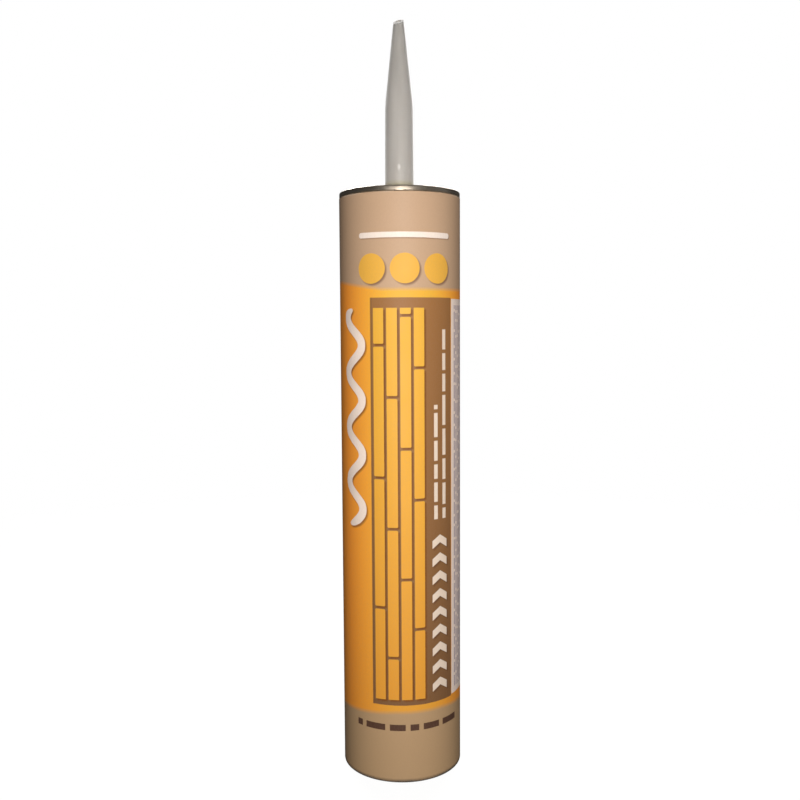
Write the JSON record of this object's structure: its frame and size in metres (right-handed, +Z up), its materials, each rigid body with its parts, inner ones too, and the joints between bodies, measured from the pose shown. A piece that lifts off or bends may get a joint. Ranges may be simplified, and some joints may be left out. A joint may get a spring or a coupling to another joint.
{
  "type": "subfloor adhesive cartridge",
  "caption": "Tall paperboard tube of subfloor adhesive with a printed wrap, a rolled tinplate end, a tapered plastic nozzle and a sliding plunger in its open end.",
  "frame": {"origin": "middle of the tube's open lower end, on the surface that it stands on", "axes": "+Z up the tube's axis to the nozzle tip; -Y is the front of the label and the low side of the slant-cut tip"},
  "size_m": [0.0648, 0.0649, 0.4031],
  "materials": {
    "paperboard": "matte raw board",
    "printed_paper": "satin varnished print",
    "tinplate": "bright tinplate",
    "sealing_compound": "matte",
    "natural_plastic": "satin, slightly translucent",
    "foil": "satin",
    "plunger_plastic": "satin",
    "paste": "matte paste"
  },
  "bodies": {
    "cartridge": {"fibre_tube": "paperboard", "label": "printed_paper", "top_end": "tinplate", "seam_compound": "sealing_compound", "nozzle": "natural_plastic", "inner_seal": "foil", "adhesive": "paste"},
    "plunger": {"plunger": "plunger_plastic"}
  },
  "joints": [
    {"name": "plunger_slide", "type": "slide", "parent": "cartridge", "child": "plunger", "axis": [0, 0, 1], "range_m": [0, 0.2745], "deforming": ["adhesive"]}
  ]
}
